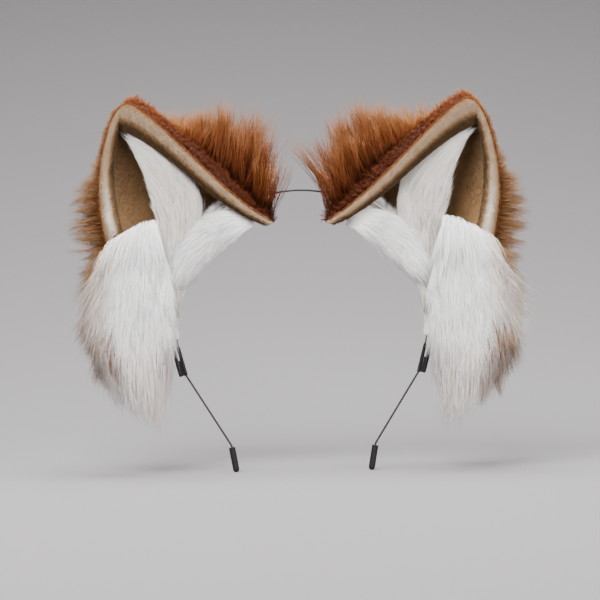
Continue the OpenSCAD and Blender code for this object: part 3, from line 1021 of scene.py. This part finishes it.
def tongue_fur(side, name, shape, material, settings, tint, seed):
    """Fur that runs along a tongue. us and vs are the roots' range, dome and hem take the top and the
    bottom of it away towards the outer side, deep is how far back they go, and behind is the share of
    them at the back. run is how far v goes from root to tip, times outer_run at the outer side. flare
    spreads the tips across from u = pivot, lift raises them off the tongue, arch bends the topmost ones
    over its end and frizz lets them wander, all three in millimetres. lock and clump say how many hairs
    stick together, and how much."""
    rng = np.random.default_rng(seed)
    count, steps = settings["count"], settings.get("steps", HAIR_STEPS)
    u0 = rng.uniform(*settings.get("us", (0, 1)), count)
    low, high = settings["vs"]
    low = low + settings.get("hem", 0) * u0**2
    high = high - settings.get("dome", 0) * u0**2
    v0 = mix(low, high, rng.uniform(0, 1, count))
    w0 = 1 - rng.beta(1.2, 2.6, count) * settings["deep"]
    behind = rng.uniform(0, 1, count) < settings.get("behind", 0.2)
    w0 = np.where(behind, rng.uniform(0, 0.2, count), w0)
    t = np.linspace(0, 1, steps)[None]
    far = settings["run"] * rng.uniform(0.6, 1.15, count) * mix(1, settings.get("outer_run", 1), u0)
    root = shape.at(u0, v0, w0)
    wave = drift(root, 18, seed)
    v = v0[:, None] + far[:, None] * t
    pivot = settings.get("pivot", 0.5)
    spread = 1 + settings["flare"] * rng.uniform(0.3, 1.4, count)[:, None] * t**1.6
    u = pivot + (u0[:, None] - pivot) * spread + 0.07 * wave[:, :1] * t
    w = np.broadcast_to(w0[:, None], (count, steps))
    paths = shape.at(u.ravel(), v.ravel(), w.ravel()).reshape(count, steps, 3)
    outwards = np.where(u0 > pivot, 2 * u0 - 1, (2 * u0 - 1) * pivot * 2)
    rise = unit(shape.across(v0) * col(outwards) - point(0, 0.9, 0) * col(np.where(w0 > 0.35, 1, -0.6)))
    lift = settings["lift"] * rng.uniform(0.2, 1.3, count)
    paths = paths + rise[:, None] * (lift[:, None] * t**1.4)[..., None]
    arch = ease(high - 0.2, high, v0) * settings.get("arch", 0) * rng.uniform(0.3, 1.3, count)
    paths = paths + (arch[:, None] * 4 * t * (1 - t))[..., None] * point(0, -0.8, 1)
    paths = gather(rng, paths, settings["lock"], 0.8 * settings["clump"])
    paths = gather(rng, paths, LOCKLET, settings["clump"], 1.0)
    paths = frizz(rng, paths, settings["frizz"])
    tones = tint(rng, u0, v0, paths)
    body = f"{side}_ear"
    hairs(f"{side}_{name}", side, body, material, paths, settings["radius"], tones, seed)


# Each tint gives the hairs' tones from the u and v of their roots and from their paths.


def plain_white(rng, u, v, paths):
    return 0.95 + rng.normal(0, 0.04, len(u))


def tuft_tint(rng, u, v, paths):
    """A few dark hairs stand at the outer side."""
    dark = (u > 0.9) & (v > 0.35) & (rng.uniform(0, 1, len(u)) < 0.1)
    return np.where(dark, 0.05, 0.93 + rng.normal(0, 0.04, len(u)))


def cheek_tint(rng, u, v, paths):
    """Tips get brown towards the outside and the bottom."""
    low = 1 - ease(-54, -14, paths[:, -1, 2])
    outer = ease(102, 115, paths[:, -1, 0])
    lock = drift(paths[:, 0], 7, 77)[:, 0]
    brown = np.clip(low * 0.6 + outer + 0.5 * lock * np.maximum(low, outer), 0, 1)
    return 0.96 - 0.9 * brown * rng.uniform(0.4, 1, len(u)) + rng.normal(0, 0.03, len(u))


def lock_tint(rng, u, v, paths):
    return rng.uniform(0.3, 1, len(u))


def fringe_tint(rng, u, v, paths):
    return rng.uniform(0.5, 1, len(u))


WISPS = {"left": 0.24, "right": 0.34}
BROWN_HAIRS = {"left": 200, "right": 360}


def tuft(side, seed):
    pelt(side, "tuft", TUFT, (0.02, 0.9), "inner_tuft")
    settings = dict(
        count=9000, steps=PLAIN_STEPS, radius=0.09, vs=(-0.06, 0.87), run=0.19,
        flare=0.04, lift=0.8, deep=0.9, lock=26, clump=0.25, frizz=0.5,
    )
    tongue_fur(side, "tuft_hair", TUFT, SHADED_WHITE_HAIR, settings, tuft_tint, seed)


def brow(side, seed):
    pelt(side, "brow", BROW, (0.0, 0.72), "brow_fur")
    settings = dict(
        count=8500, steps=PLAIN_STEPS, radius=0.09, vs=(0.05, 1.0), run=-0.42,
        flare=0.3, lift=1.6, deep=0.9, lock=20, clump=0.3, frizz=1.0,
    )
    tongue_fur(side, "brow_hair", BROW, WHITE_HAIR, settings, plain_white, seed)


def cheek(side, seed):
    """White fur under longer white wisps, with locks of brown hair in it and brown fur behind it."""
    pelt(side, "cheek", CHEEK, (0.42, 0.9), "cheek_fur")
    fur = dict(
        count=9000, steps=PLAIN_STEPS, radius=0.1, vs=(0.3, 1.03), run=-0.3, outer_run=0.8, dome=0.14,
        flare=0.06, pivot=0.1, lift=1.8, arch=4.5, deep=1.0, lock=40, clump=0.18, frizz=0.9,
    )
    wisps = dict(
        count=9000, radius=0.07, vs=(0.18, 0.84), run=-0.32, outer_run=0.8, hem=0.12,
        flare=WISPS[side], pivot=0.1, lift=2.8, deep=1.0, lock=60, clump=0.4, frizz=1.8,
    )
    locks = dict(
        count=BROWN_HAIRS[side], radius=0.07, us=(0.7, 1.05), vs=(0.22, 0.5), run=-0.25, outer_run=0.8,
        flare=WISPS[side], pivot=0.1, lift=4.5, deep=0.1, behind=0, lock=28, clump=0.95, frizz=0.7,
    )
    fringe = dict(
        count=2600, radius=0.08, us=(0.84, 1.0), vs=(0.3, 0.92), run=-0.2,
        flare=0.26, pivot=0.1, lift=3.0, deep=1.0, behind=1.0, lock=30, clump=0.6, frizz=1.2,
    )
    tongue_fur(side, "cheek_hair", CHEEK, WHITE_HAIR, fur, cheek_tint, seed)
    tongue_fur(side, "cheek_guard_hair", CHEEK, WHITE_HAIR, wisps, cheek_tint, seed + 1)
    tongue_fur(side, "cheek_brown_locks", CHEEK, SIDE_HAIR, locks, lock_tint, seed + 2)
    tongue_fur(side, "cheek_fringe", CHEEK, SIDE_HAIR, fringe, fringe_tint, seed + 3)


for side, seed in (("left", 100), ("right", 200)):
    sleeve(side)
    stitches(side)
    ear_layers(side)
    rim(side)
    base_felt(side)
    rim_pile(side, seed + 1)
    rim_edge_pile(side, seed + 2)
    lining_pile(side, seed + 3)
    base_pile(side, seed + 9)
    edge_curls(side, seed + 4)
    fur = crown_fur(side, "crown_undercoat", 9000, 30, 0.14, -0.08, 60, seed + 5, 0.14, PLAIN_STEPS)
    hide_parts(f"{side}_crown_fur")
    crown_fur(side, "crown_guard_hair", 9000, 44, 0.09, 0.05, 60, seed + 6, 0.2)
    fur = side_fur(side, "side_undercoat", 6500, 16, 0.1, 30, seed + 7, 0.14, PLAIN_STEPS)
    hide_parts(f"{side}_side_fur")
    side_fur(side, "side_guard_hair", 7500, 26, 0.075, 40, seed + 8, 0.2)
    tuft(side, seed + 10)
    brow(side, seed + 11)
    cheek(side, seed + 12)

# ---- Floor, light and camera ----


def stage():
    """A pale floor that curves up into a backdrop, in metres. Its colour holds painted shade: it gets
    darker upwards and towards the camera.
    """
    low = cad_box[0].z
    reach, half_wide, start, bend, tall, steps = 2.2, 3.0, 0.15, 1.1, 2.4, 32
    profile = [(-reach, low), (start, low)]
    for k in range(1, steps + 1):
        a = math.pi / 2 * k / steps
        profile.append((start + bend * math.sin(a), low + bend * (1 - math.cos(a))))
    profile.append((start + bend, low + tall))
    points = [(x, y, z) for x in (-half_wide, half_wide) for y, z in profile]
    mesh = bpy.data.meshes.new("floor")
    count = len(profile)
    faces = [(i, i + count, i + count + 1, i + 1) for i in range(count - 1)]
    mesh.from_pydata(points, [], faces)
    mesh.shade_smooth()
    n = Nodes("paper_backdrop", Roughness=0.8, Specular_IOR_Level=0.2)
    place = n.place()
    tooth = n.noise(place, 300, detail=3)
    split = n.add("ShaderNodeSeparateXYZ")
    n.link(place, split.inputs[0])
    # Painted shade: the paper darkens from the floor up the backdrop (height), and towards the camera
    # (near).
    height = n.spread(split.outputs["Z"], 0, 1, start=low, end=0.32)
    near = n.spread(split.outputs["Y"], 0.64, 1, start=-0.6, end=0.0)
    floor, wall, top = (0.245, 0.232, 0.236), (0.212, 0.2, 0.203), (0.136, 0.129, 0.131)
    pale = n.ramp(height, [(0, floor), (0.25, wall), (1, top)])
    paper = n.blend(n.spread(tooth, 0, 0.06), pale, (0.4, 0.4, 0.4))
    n.link(n.blend(1.0, paper, near, "MULTIPLY"), n.shader.inputs["Base Color"])
    mesh.materials.append(n.material)
    obj = bpy.data.objects.new("floor", mesh)
    bpy.context.scene.collection.objects.link(obj)


def softbox(name, place, aim, size, power, colour=(1, 1, 1)):
    light = bpy.data.lights.new(name, "AREA")
    light.shape = "RECTANGLE"
    light.size, light.size_y = size
    light.energy = power
    light.color = colour
    obj = bpy.data.objects.new(name, light)
    obj.location = place
    obj.rotation_mode = "QUATERNION"
    obj.rotation_quaternion = (Vector(aim) - Vector(place)).to_track_quat("-Z", "Y")
    bpy.context.scene.collection.objects.link(obj)


def camera():
    """Level and long, from the front, with the headband turned a little in the picture."""
    distance, across, roll = 1.2, 0.331, 1.0
    aim = Vector((-0.0006, 0, 0.0094))
    data = bpy.data.cameras.new("camera")
    data.lens = data.sensor_width / 2 / (across / 2 / distance)
    data.clip_start, data.clip_end = 0.05, 20
    obj = bpy.data.objects.new("camera", data)
    obj.location = aim - Vector((0, distance, 0))
    obj.rotation_euler = (math.radians(90), math.radians(roll), 0)
    bpy.context.scene.collection.objects.link(obj)
    bpy.context.scene.camera = obj


stage()
softbox("key", (-0.3, -0.85, 0.8), (0, 0, 0.03), (0.8, 0.6), 46)
softbox("fill", (0.7, -0.95, 0.2), (0, 0, 0.0), (0.7, 0.7), 20)
softbox("top", (0.05, 0.05, 0.85), (0, 0, 0), (0.8, 0.5), 16)
world = bpy.data.worlds.new("soft_room")
world.use_nodes = True
world.node_tree.nodes["Background"].inputs["Color"].default_value = (0.9, 0.92, 0.95, 1)
world.node_tree.nodes["Background"].inputs["Strength"].default_value = 0.5
bpy.context.scene.world = world
camera()
